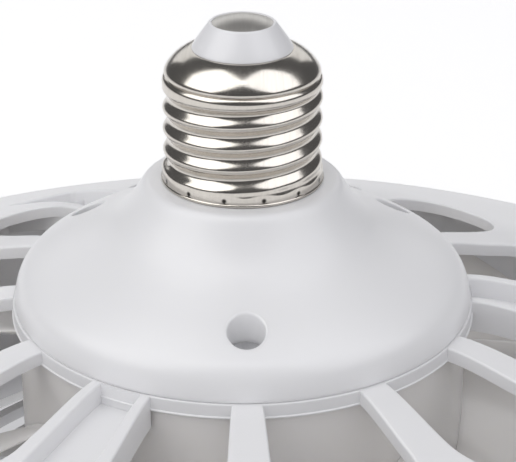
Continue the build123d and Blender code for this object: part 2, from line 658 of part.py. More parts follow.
def light_diffuser():
    """Frosted ring that closes the light chamber, with a locating rib at each wall."""
    plate = tube(LAMP_R - DIFFUSER_LIP, DUCT_R + DIFFUSER_LIP, 0, DIFFUSER_T)
    plate = fillet(plate.edges().filter_by(GeomType.CIRCLE).group_by(Axis.Z)[0], DIFFUSER_EDGE_R)
    top = DIFFUSER_T + LOCATOR_H
    outer = RING_IN_R - SEAT_GAP
    inner = DUCT_OUT_R + SEAT_GAP
    locators = [tube(outer, outer - LOCATOR_T, 0, top), tube(inner + LOCATOR_T, inner, 0, top)]
    return plate + [locator - disc(LAMP_R, 0, DIFFUSER_T / 2) for locator in locators]


PIECES = [
    contact_plate, cap_insulator, screw_shell, canopy, canopy_screws, top_guard, light_ring,
    driver_board, driver_screws, power_transformer, filter_capacitor,
    motor_base, motor_screws, motor_bearings, stator_core, stator_windings,
    motor_shaft, shaft_clip, rotor_cup, rotor_magnet, rotor_nut, fan_rotor,
    outlet_grille, grille_screws, light_board, board_screws, light_chips, light_diffuser,
]

os.makedirs("parts", exist_ok=True)
for piece in PIECES:
    export_step(piece(), f"parts/{piece.__name__}.step")
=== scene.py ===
"""Looks of a screw-base fan lamp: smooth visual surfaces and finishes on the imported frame."""

import json
import logging
from dataclasses import dataclass, field
from enum import Enum

import bpy
import numpy as np
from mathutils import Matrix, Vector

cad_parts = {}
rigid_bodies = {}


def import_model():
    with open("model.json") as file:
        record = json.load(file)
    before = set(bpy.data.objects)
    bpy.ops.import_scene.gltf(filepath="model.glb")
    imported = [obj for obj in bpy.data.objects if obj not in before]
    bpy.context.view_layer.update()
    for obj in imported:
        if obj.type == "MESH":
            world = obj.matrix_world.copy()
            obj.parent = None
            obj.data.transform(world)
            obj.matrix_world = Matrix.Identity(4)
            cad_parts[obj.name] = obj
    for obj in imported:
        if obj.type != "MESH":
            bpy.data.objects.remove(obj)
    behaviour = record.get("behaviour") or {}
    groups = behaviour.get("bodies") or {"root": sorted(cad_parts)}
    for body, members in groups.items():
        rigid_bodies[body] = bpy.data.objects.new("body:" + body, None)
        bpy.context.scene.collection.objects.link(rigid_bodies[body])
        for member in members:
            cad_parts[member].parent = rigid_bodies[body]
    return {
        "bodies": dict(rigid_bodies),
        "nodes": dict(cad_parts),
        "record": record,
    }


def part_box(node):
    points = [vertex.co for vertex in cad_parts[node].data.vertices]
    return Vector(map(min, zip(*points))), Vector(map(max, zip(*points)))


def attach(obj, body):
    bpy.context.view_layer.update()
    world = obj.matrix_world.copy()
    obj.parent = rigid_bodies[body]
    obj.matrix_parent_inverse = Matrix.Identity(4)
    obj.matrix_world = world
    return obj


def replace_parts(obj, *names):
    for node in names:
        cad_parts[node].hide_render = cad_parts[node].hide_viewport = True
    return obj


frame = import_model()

LOG = logging.getLogger("fan_lamp")
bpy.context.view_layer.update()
MM = 0.001
TAU = 2.0 * np.pi
WELD = 2e-6
# Point attribute that holds painted shade, mixed into the base colour.
PAINTED_SHADE = "painted_shade"
Array = np.ndarray


class Body(Enum):
    """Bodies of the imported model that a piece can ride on."""

    HOUSING = "housing"
    ROTOR = "rotor"


class Use(Enum):
    """What a lamp is there for."""

    SHADING = "shading"
    REFLECTIONS = "reflections"


class Pattern(Enum):
    """Surface patterns that a finish can carry, by the name of their node group."""

    GRAIN = "surface_grain"
    LATHE = "lathe_marks"


def span(node: str) -> tuple[Array, Array]:
    """Box of a CAD node.

    Args:
        node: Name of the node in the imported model.

    Returns:
        Lowest and highest corner in millimetres.
    """
    low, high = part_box(node)
    return np.array(low) / MM, np.array(high) / MM


RIM = span("canopy")[0][2]


def smooth(low: float, high: float, value: Array) -> Array:
    """Soft step from 0 at low to 1 at high."""
    t = np.clip((value - low) / (high - low), 0.0, 1.0)
    return t * t * (3.0 - 2.0 * t)


def full_turn(steps: int) -> Array:
    """Angles of a full turn in equal steps, without the last one, which is the first again."""
    return np.linspace(0.0, TAU, steps, endpoint=False)


def unit(angle: Array) -> Array:
    """Unit vectors (cos a, sin a) in plan."""
    return np.stack([np.cos(angle), np.sin(angle)], axis=-1)


def polar(radius: Array, angle: Array, height: Array) -> Array:
    """Points (r cos a, r sin a, z) in metres from radii, angles and heights in millimetres."""
    r, a, z = np.broadcast_arrays(radius, angle, height)
    return np.stack([r * np.cos(a), r * np.sin(a), z], axis=-1) * MM


def bezier(points: list[tuple[float, float]], steps: int) -> Array:
    """Quadratic or cubic curve through control points.

    Args:
        points: Three or four control points in radius and height.
        steps: Number of points along the curve.

    Returns:
        Array of (radius, height) rows: the Bernstein sum of the control points.
    """
    t = np.linspace(0.0, 1.0, steps)[:, None]
    p = np.array(points, float)
    if len(points) == 3:
        return (1 - t) ** 2 * p[0] + 2 * t * (1 - t) * p[1] + t**2 * p[2]
    return (1 - t) ** 3 * p[0] + 3 * t * (1 - t) ** 2 * p[1] + 3 * t**2 * (1 - t) * p[2] + t**3 * p[3]


def rounded(corners: list[tuple[float, float, float]], steps: int = 5) -> Array:
    """Closed outline with round corners, for turning.

    Args:
        corners: Radius, height and rounding of each corner, counterclockwise in radius and height.
        steps: Points on each rounded corner.

    Returns:
        Array of (radius, height) rows: each corner gives way to a quadratic curve between its two sides.
    """
    p = np.array(corners, float)
    here, cut = p[:, :2], p[:, 2:]
    back = np.roll(here, 1, axis=0) - here
    ahead = np.roll(here, -1, axis=0) - here
    start = here + cut * back / np.linalg.norm(back, axis=1, keepdims=True)
    end = here + cut * ahead / np.linalg.norm(ahead, axis=1, keepdims=True)
    t = np.linspace(0.0, 1.0, steps)[None, :, None]
    curve = (1 - t) ** 2 * start[:, None] + 2 * t * (1 - t) * here[:, None] + t**2 * end[:, None]
    return curve.reshape(-1, 2)


def turned(profile: Array, steps: int) -> Array:
    """Grid of a profile turned about the axis: row i, column j is (r_i cos a_j, r_i sin a_j, z_i)."""
    return polar(profile[:, :1], full_turn(steps), profile[:, 1:])


class Sheet:
    """Grids of points that are welded into one mesh."""

    def __init__(self) -> None:
        """Starts empty."""
        self.points: list[Array] = []
        self.quads: list[Array] = []
        self.painted_shades: list[Array] = []
        self.count = 0

    def add(self, grid: Array, around: bool = False, closed: bool = False, keep: Array | None = None,
            painted_shade: Array | None = None) -> "Sheet":
        """Adds a grid whose columns run counterclockwise and rows upwards on an outer side.

        Args:
            grid: Points of shape (rows, columns, 3) in metres.
            around: Joins the last column to the first.
            closed: Joins the last row to the first.
            keep: Mask of the quads that stay.
            painted_shade: Painted shade of each point, from 0 to 1.

        Returns:
            The sheet itself.
        """
        rows, columns = grid.shape[:2]
        index = np.arange(rows * columns).reshape(rows, columns) + self.count
        if around:
            index = np.hstack([index, index[:, :1]])
        if closed:
            index = np.vstack([index, index[:1]])
        quads = np.stack([index[:-1, :-1], index[:-1, 1:], index[1:, 1:], index[1:, :-1]], axis=-1)
        self.quads.append(quads.reshape(-1, 4) if keep is None else quads[keep])
        self.points.append(grid.reshape(-1, 3))
        self.painted_shades.append(np.zeros(rows * columns) if painted_shade is None else painted_shade.reshape(-1))
        self.count += rows * columns
        return self

    def build(self, name: str, slot: str, body: Body, sharp_deg: float = 40.0) -> bpy.types.Object:
        """Welds the grids and links the mesh.

        Args:
            name: Piece name.
            slot: Slot whose finish covers the piece.
            body: Body that it rides on.
            sharp_deg: Edges that turn more than this stay sharp.

        Returns:
            The new object.
        """
        points = np.vstack(self.points)
        keys = np.round(points / WELD).astype(np.int64)
        _, first, inverse = np.unique(keys, axis=0, return_index=True, return_inverse=True)
        quads = inverse.reshape(-1)[np.vstack(self.quads)]
        distinct = quads != np.roll(quads, 1, axis=1)
        three = distinct.sum(axis=1) == 3
        faces = quads[distinct.all(axis=1)].tolist() + quads[three][distinct[three]].reshape(-1, 3).tolist()
        mesh = bpy.data.meshes.new(name)
        mesh.from_pydata(points[first], [], faces)
        # Painted shade per point, which the finishes mix into the base colour.
        dark = mesh.attributes.new(PAINTED_SHADE, "FLOAT", "POINT")
        dark.data.foreach_set("value", np.concatenate(self.painted_shades)[first].astype(np.float32))
        mesh.validate()
        mesh.polygons.foreach_set("use_smooth", np.ones(len(mesh.polygons), bool))
        mesh.set_sharp_from_angle(angle=np.radians(sharp_deg))
        mesh.materials.append(FINISHES[slot].material())
        piece = bpy.data.objects.new(name, mesh)
        bpy.context.scene.collection.objects.link(piece)
        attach(piece, body.value)
        LOG.info("%s: %d faces", name, len(mesh.polygons))
        return piece


def add_node(tree: bpy.types.NodeTree, kind: str, **values: object) -> bpy.types.Node:
    """New shader node.

    Args:
        tree: Node tree that it goes into.
        kind: Type of node, without the start that all type names share.
        values: Values of inputs, named with _ for a blank.

    Returns:
        The node.
    """
    node = tree.nodes.new(f"ShaderNode{kind}")
    for label, value in values.items():
        node.inputs[label.replace("_", " ")].default_value = value
    return node


class NodeGroups:
    """Shared shader effects that give masks and values."""

    @staticmethod
    def start(name: str, inputs: dict[str, float], outputs: list[str]) -> tuple:
        """Empty node group with named value sockets.

        Args:
            name: Name of the group.
            inputs: Input sockets and their defaults.
            outputs: Output sockets.

        Returns:
            The group, its input node and its output node.
        """
        group = bpy.data.node_groups.new(name, "ShaderNodeTree")
        for label, value in inputs.items():
            socket = group.interface.new_socket(label, in_out="INPUT", socket_type="NodeSocketFloat")
            socket.default_value = value
        for label in outputs:
            group.interface.new_socket(label, in_out="OUTPUT", socket_type="NodeSocketFloat")
        return group, group.nodes.new("NodeGroupInput"), group.nodes.new("NodeGroupOutput")

    @staticmethod
    def grain() -> bpy.types.NodeTree:
        """Fine moulding grain and broad unevenness, from noise on object coordinates."""
        group, given, result = NodeGroups.start(
            Pattern.GRAIN.value, {"Fine Scale": 1500.0, "Broad Scale": 14.0}, ["Fine", "Broad"])
        place = add_node(group, "TexCoord")
        for label, scale in (("Fine", "Fine Scale"), ("Broad", "Broad Scale")):
            noise = add_node(group, "TexNoise", Detail=3.0)
            group.links.new(place.outputs["Object"], noise.inputs["Vector"])
            group.links.new(given.outputs[scale], noise.inputs["Scale"])
            group.links.new(noise.outputs["Fac"], result.inputs[label])
        return group

    @staticmethod
    def lathe() -> bpy.types.NodeTree:
        """Fine rings and broad scratches, from noise stretched round and along the axis."""
        group, given, result = NodeGroups.start(
            Pattern.LATHE.value, {"Ring Scale": 2600.0}, ["Fine", "Broad"])
        place = add_node(group, "TexCoord")
        for label, stretch in (("Fine", (0.02, 0.02, 1.0)), ("Broad", (1.0, 0.05, 0.12))):
            mapping = add_node(group, "Mapping", Scale=stretch)
            noise = add_node(group, "TexNoise", Detail=2.0)
            group.links.new(place.outputs["Object"], mapping.inputs["Vector"])
            group.links.new(mapping.outputs["Vector"], noise.inputs["Vector"])
            group.links.new(given.outputs["Ring Scale"], noise.inputs["Scale"])
            group.links.new(noise.outputs["Fac"], result.inputs[label])
        return group


@dataclass(frozen=True)
class Finish:
    """One surface finish, made into a procedural material."""

    slot: str
    colour: tuple[float, float, float]
    roughness: float
    pattern: Pattern = Pattern.GRAIN
    metallic: float = 0.0
    coat: float = 0.0
    tint: float = 0.06
    grain_mm: float = 0.004
    uneven: float = 0.08
    subsurface: float = 0.0
    depth_mm: float = 1.0
    coat_roughness: float = 0.08
    # Near-black colour that the painted shade attribute darkens towards.
    painted_shade_colour: tuple[float, float, float] = (0.03, 0.028, 0.026)
    bump: float = 0.6

    def material(self) -> bpy.types.Material:
        """Principled material whose colour, roughness and bump follow the shared groups.

        Returns:
            The finish's own material, made once. Its name isn't the slot's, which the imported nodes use.
        """
        name = f"{self.slot}_finish"
        made = bpy.data.materials.get(name)
        if made:
            return made
        made = bpy.data.materials.new(name)
        made.use_nodes = True
        tree = made.node_tree
        shader = tree.nodes["Principled BSDF"]
        values = {
            "Metallic": self.metallic, "Coat Weight": self.coat, "Coat Roughness": self.coat_roughness,
            "Subsurface Weight": self.subsurface, "Subsurface Radius": (1.0, 1.0, 0.9),
            "Subsurface Scale": self.depth_mm * MM}
        for label, value in values.items():
            shader.inputs[label].default_value = value
        group = add_node(tree, "Group")
        group.node_tree = bpy.data.node_groups[self.pattern.value]
        self.colour_nodes(tree, group)
        smoothest = max(self.roughness - self.uneven, 0.02)
        rough = add_node(tree, "MapRange", To_Min=smoothest, To_Max=self.roughness + self.uneven)
        tree.links.new(group.outputs["Broad"], rough.inputs["Value"])
        tree.links.new(rough.outputs["Result"], shader.inputs["Roughness"])
        bump = add_node(tree, "Bump", Strength=self.bump, Distance=self.grain_mm * MM)
        tree.links.new(group.outputs["Fine"], bump.inputs["Height"])
        tree.links.new(bump.outputs["Normal"], shader.inputs["Normal"])
        return made

    def colour_nodes(self, tree: bpy.types.NodeTree, group: bpy.types.Node) -> None:
        """Links the base colour.

        Args:
            tree: Node tree of the material.
            group: Pattern whose broad part mixes the colour with a darker tint, before the painted shade
                attribute darkens it.
        """
        shader = tree.nodes["Principled BSDF"]
        mix, shade = add_node(tree, "Mix"), add_node(tree, "Mix")
        mix.data_type = shade.data_type = "RGBA"
        mix.inputs[6].default_value = (*self.colour, 1.0)
        mix.inputs[7].default_value = (*(c * (1.0 - self.tint) for c in self.colour), 1.0)
        shade.inputs[7].default_value = (*self.painted_shade_colour, 1.0)
        # Painted shade: the point attribute darkens the colour where the cap's notches and slits would be in
        # shade.
        painted_shade_input = add_node(tree, "Attribute")
        painted_shade_input.attribute_name = PAINTED_SHADE
        tree.links.new(group.outputs["Broad"], mix.inputs[0])
        tree.links.new(painted_shade_input.outputs["Fac"], shade.inputs[0])
        tree.links.new(mix.outputs[2], shade.inputs[6])
        tree.links.new(shade.outputs[2], shader.inputs["Base Color"])


FINISHES: dict[str, Finish] = {
    finish.slot: finish
    for finish in (
        Finish("white_plastic", (0.86, 0.86, 0.87), 0.34, tint=0.02, grain_mm=0.003, subsurface=0.1),
        Finish("fan_plastic", (0.93, 0.905, 0.875), 0.26, coat=0.3, tint=0.04, subsurface=0.4, depth_mm=3.0),
        Finish("nickel", (0.66, 0.625, 0.575), 0.18, Pattern.LATHE, 1.0, tint=0.12, uneven=0.06),
        Finish("contact_metal", (0.72, 0.70, 0.67), 0.36, Pattern.LATHE, 1.0, tint=0.15, grain_mm=0.01),
        Finish("insulator", (0.81, 0.81, 0.825), 0.30, tint=0.02),
        Finish("screw_steel", (0.60, 0.60, 0.61), 0.32, Pattern.LATHE, 1.0, tint=0.2),
        Finish("core_steel", (0.36, 0.37, 0.39), 0.42, Pattern.LATHE, 0.8),
        Finish("magnet", (0.06, 0.06, 0.065), 0.6, tint=0.3),
        Finish("copper", (0.62, 0.25, 0.10), 0.3, Pattern.LATHE, 0.9, coat=0.5),
        Finish("circuit_board", (0.02, 0.16, 0.07), 0.4, coat=0.4, tint=0.3),
        Finish("bobbin", (0.62, 0.42, 0.05), 0.5, tint=0.2),
        Finish("capacitor_sleeve", (0.02, 0.02, 0.03), 0.35, coat=0.3),
        Finish("board_metal", (0.76, 0.77, 0.78), 0.4, tint=0.05),
        Finish("chip", (0.82, 0.55, 0.08), 0.3, coat=0.5),
        Finish("frosted", (0.80, 0.80, 0.78), 0.55, tint=0.02, grain_mm=0.01, subsurface=0.25),
    )
}


@dataclass
class ScrewCap:
    """Threaded metal cap with its insulator and foot contact."""

    columns: int = 650
    skirt_h: float = 2.9
    skirt_r: float = 13.3
    thread_r: float = 12.6
    thread_half: float = 0.5
    pitch: float = 3.62
    first_crest: float = 6.22
    crests: int = 4
    wall: float = 0.55
    notches: int = 13
    notch_r: float = 0.40
    notch_h: float = 1.15
    foot: float = 0.45
    foot_wave: float = 0.28
    band_h: float = 1.7
    band_wave: float = 0.15
    flare: float = 1.6
    slit_half: float = 0.13
    groove_r: float = 12.45
    groove_h: float = 1.1
    shoulder_r: float = 12.95
    bend_r: float = 11.3
    bend_drop: float = 1.65
    bore_r: float = 11.3
    collar_r: float = 12.5
    roll_r: float = 0.3
    lip_r: float = 8.2
    tip_r: float = 5.3
    contact_r: float = 4.9
    sunk: float = 0.5
    crown: float = 1.05
    dimple: float = 0.07
    dimple_r: float = 0.5
    neck: float = field(init=False)
    lip: float = field(init=False)

    def __post_init__(self) -> None:
        """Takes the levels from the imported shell."""
        low, high = span("screw_shell")
        self.neck, self.lip = low[2], high[2]

    def side(self) -> tuple[Array, Array]:
        """Shell with painted shade in its notches and slits.

        Returns:
            Grid over height and angle: an upright band with a scalloped foot runs over, along a wavy line,
            into a cosine wave along the height whose phase climbs one pitch a turn, then into a groove and a
            two-part shoulder curve. The second array is painted shade: dark spots at the band's notches and
            dark lines at its slits, put into the colour where their openings would lie in shade.
        """
        angle = full_turn(self.columns)
        top = self.neck + self.first_crest + (self.crests - 1) * self.pitch
        step = TAU / self.notches
        off = (angle + TAU / 4 + step) % step - step / 2
        near = np.cos(np.pi * off / step) ** 8
        last = top - self.neck
        skirt, thread = np.linspace(0.0, self.skirt_h, 24), np.linspace(self.skirt_h, last, 72)
        level = np.concatenate([skirt, thread[1:]])[:, None]
        level = level + (self.foot + self.foot_wave * near) * smooth(self.skirt_h, 0.0, level)
        turn = self.pitch * (angle + TAU / 4) / TAU
        wave = self.thread_r + self.thread_half * np.cos(TAU * (level - self.first_crest - turn) / self.pitch)
        band = level - self.band_wave * np.cos(TAU * off / step)
        radius = self.skirt_r + (wave - self.skirt_r) * smooth(self.band_h, self.band_h + self.flare, band)
        crest_r = self.thread_r + self.thread_half
        radius = radius + (crest_r - radius) * smooth(last - self.pitch / 2, last, level)
        # Painted shade: the notches and slits are not cut, and these masks darken the colour where their
        # openings would be in shade.
        away = np.hypot(off * self.skirt_r, level - self.notch_h)
        hole = np.exp(-((away / self.notch_r) ** 6))
        slit = np.exp(-((off * self.skirt_r / self.slit_half) ** 4))
        slit = slit * smooth(self.notch_h, self.notch_h - self.notch_r / 2, level)
        shell = polar(radius, angle, level + self.neck)
        dip = (self.groove_r, top + self.groove_h)
        bend = (self.bend_r, self.lip - self.bend_drop)
        groove = bezier([(crest_r, top), (crest_r, top + 0.75), dip], 8)
        swell = (self.shoulder_r + 0.05, dip[1] + 0.25)
        lower = bezier([dip, swell, (self.shoulder_r, dip[1] + 1.0), bend], 14)
        upper = bezier([bend, (bend[0] - 1.2, bend[1] + 1.1), (self.lip_r + 0.25, self.lip - 0.02)], 12)
        foot = self.neck + self.skirt_h
        inner = np.array([
            (self.lip_r - 0.3, self.lip), (self.lip_r - 0.6, self.lip - self.wall),
            (self.bore_r - 1.1, self.lip - 2.0), (self.bore_r, top), (self.bore_r, foot + 1.5),
            (self.collar_r, foot), (self.collar_r, self.neck + self.foot + 0.1)])
        shoulder = turned(np.vstack([groove[1:], lower[1:], upper[1:], inner]), self.columns)
        dark = np.zeros((len(shell) + len(shoulder), self.columns))
        dark[:len(shell)] = np.maximum(hole, slit)
        return np.concatenate([shell, shoulder]), dark

    def lip_ring(self) -> Array:
        """Rolled lip under the skirt: a small circle turned about the axis."""
        centre = np.array([self.skirt_r - 0.4 * self.roll_r, self.neck + self.roll_r])
        return turned(centre + self.roll_r * unit(full_turn(14)), self.columns // 2)

    def build(self) -> None:
        """Builds shell, insulator and contact."""
        side, dark = self.side()
        # The shell carries the painted shade of its notches and slits.
        shell = Sheet().add(side, around=True, closed=True, painted_shade=dark)
        shell.add(self.lip_ring(), around=True, closed=True)
        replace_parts(shell.build("screw_shell_look", "nickel", Body.HOUSING, 50.0), "screw_shell")
        tip = span("contact_plate")[0][2] - self.sunk
        flank = bezier([
            (self.lip_r, self.lip + 0.1), (self.lip_r - 0.2, self.lip + 0.75), (6.6, self.lip + 2.6),
            (self.tip_r + 0.15, tip - 0.12)], 20)
        edge = self.contact_r
        foot = [(0.0, self.lip + 0.02), (self.lip_r, self.lip + 0.02)]
        rim = [(self.tip_r, tip), (edge + 0.15, tip - 0.05), (edge + 0.05, tip - 0.2), (0.0, tip - 0.2)]
        collar = Sheet().add(turned(np.vstack([foot, flank, rim]), 128), around=True)
        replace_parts(collar.build("cap_insulator_look", "insulator", Body.HOUSING), "cap_insulator")
        radius = np.linspace(1.0, 0.0, 40)
        crown = tip - 0.1 + self.crown * (1.0 - radius**2)
        dimple = self.dimple * np.exp(-((radius * edge / self.dimple_r) ** 2))
        top = np.stack([radius * edge, crown - dimple], axis=1)
        side = np.array([(0.0, tip - 0.19), (edge, tip - 0.19)])
        button = Sheet().add(turned(np.vstack([side, top]), 96), around=True)
        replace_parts(button.build("contact_plate_look", "contact_metal", Body.HOUSING), "contact_plate")


@dataclass
class Canopy:
    """Bell-shaped cover with three sunk screw wells."""

    columns: int = 540
    edge: float = 0.4
    well_r: float = 2.95
    well_circle: float = 31.0
    well_start_deg: float = 30.0
    well_floor: float = 3.0
    wells: int = 3
    drop: float = 0.45
    neck_r: float = 16.3
    collar_r: float = 12.5
    collar_h: float = 2.8
    bore_r: float = 10.0
    dome_r: float = 22.0
    dome_h: float = 10.0
    seat_r: float = 26.8
    seat_h: float = 2.4
    screw_hole_r: float = 1.65
    foot_r: float = 37.5
    heights: tuple[float, ...] = (0.0, 0.8, 1.8, 3.2, 5.0, 6.8, 8.1, 9.6, 11.2, 13.0, 15.0, 17.0, 19.2)
    radii: tuple[float, ...] = (
        38.66, 38.57, 38.33, 37.97, 36.64, 33.58, 31.06, 27.85, 24.7, 21.85, 19.83, 18.31, 16.98)
    neck: float = field(init=False)

    def __post_init__(self) -> None:
        """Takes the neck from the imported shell."""
        self.neck = span("screw_shell")[0][2]

    def outside(self) -> Array:
        """Bell line from rim to neck: heights over radii, smoothed along its own length."""
        line = np.stack([self.radii, np.array(self.heights) + RIM], axis=1)
        run = np.concatenate([[0.0], np.cumsum(np.linalg.norm(np.diff(line, axis=0), axis=1))])
        fine = np.linspace(0.0, run[-1], 400)
        curve = np.stack([np.interp(fine, run, line[:, 0]), np.interp(fine, run, line[:, 1])], axis=1)
        kernel = np.hanning(61)
        kernel /= kernel.sum()
        padded = np.vstack([2 * curve[0] - curve[30:0:-1], curve, 2 * curve[-1] - curve[-2:-32:-1]])
        soft = np.stack([np.convolve(padded[:, i], kernel, "valid") for i in (0, 1)], axis=1)
        return soft[np.linspace(0, len(soft) - 1, 96).astype(int)]

    def level(self, line: Array, radius: Array) -> Array:
        """Height of the bell line at given radii."""
        return np.interp(radius, line[::-1, 0], line[::-1, 1])

    def build(self) -> None:
        """Builds the bell, punches the wells and lines them."""
        line = self.outside()
        low = RIM - self.drop
        rim_r = line[0, 0]
        foot = np.array([
            (self.foot_r, low), (rim_r - 0.25, low), (rim_r - 0.03, low + 0.1), (rim_r, low + 0.25)])
        edge = [(self.neck_r, self.neck - 0.1), (self.neck_r - 1.0, self.neck)]
        neck = bezier([tuple(line[-1]), *edge], 8)[1:]
        collar = self.neck + self.collar_h
        inside = np.array([
            (self.collar_r, self.neck), (self.collar_r, collar), (self.bore_r, collar),
            (self.bore_r, self.neck - 2.0), (self.neck_r - 0.8, self.neck - 3.0),
            (self.dome_r, RIM + self.dome_h), (self.seat_r, RIM + self.seat_h),
            (self.foot_r - 1.5, RIM + 1.5)])
        profile = np.vstack([foot, line, neck, inside])
        grid = turned(profile, self.columns)
        middle = np.radians(self.well_start_deg) + TAU * np.arange(self.wells) / self.wells
        centre = unit(middle) * self.well_circle * MM
        reach = (self.well_r + self.edge) * MM
        outer = len(foot) + len(line)
        face = (grid + np.roll(grid, -1, axis=1)) / 2
        face = (face + np.roll(face, -1, axis=0)) / 2
        keep = np.ones(grid.shape[:2], bool)
        for point in centre:
            gap = np.linalg.norm(face[..., :2] - point, axis=-1)
            inside_hole = gap < reach
            inside_hole[outer:] = False
            keep &= ~inside_hole
            corner = np.zeros(grid.shape[:2], bool)
            for shift in ((0, 0), (1, 0), (0, 1), (1, 1)):
                corner |= np.roll(inside_hole, shift, axis=(0, 1))
            away = grid[..., :2] - point
            length = np.linalg.norm(away, axis=-1, keepdims=True)
            snapped = point + away / np.maximum(length, 1e-9) * reach
            radius = np.linalg.norm(snapped, axis=-1) / MM
            grid[corner, :2] = snapped[corner]
            grid[corner, 2] = self.level(line, radius[corner]) * MM
        bell = Sheet().add(grid, around=True, closed=True, keep=keep)
        for point in centre:
            self.line_well(bell, point / MM, line)
        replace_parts(bell.build("canopy_look", "white_plastic", Body.HOUSING), "canopy")

    def line_well(self, sheet: Sheet, point: Array, line: Array) -> None:
        """Adds a well's rounded edge, wall and floor.

        Args:
            sheet: Sheet of the bell.
            point: Middle of the well in plan.
            line: Bell line in radius and height.
        """
        turn = full_turn(72)
        bend = np.linspace(0.0, np.pi / 2, 7)
        eased = self.well_r + self.edge * (1 - np.sin(bend))
        reach = np.concatenate([[eased[0] + 0.12], eased])[:, None]
        drop = np.concatenate([[0.02], self.edge * (1 - np.cos(bend))])[:, None]
        x, y = point[0] + reach * np.cos(turn), point[1] + reach * np.sin(turn)
        z = self.level(line, np.hypot(x, y)) - drop
        rim = np.stack([x, y, z], axis=-1)
        floor_z = RIM + self.well_floor
        floor_r = np.array([self.well_r, self.well_r - 0.2, self.screw_hole_r])[:, None]
        floor = np.stack([
            point[0] + floor_r * np.cos(turn), point[1] + floor_r * np.sin(turn),
            np.broadcast_to(np.array([[floor_z + 0.2], [floor_z], [floor_z]]), (3, len(turn)))], axis=-1)
        sheet.add(np.concatenate([rim, floor]) * MM, around=True)


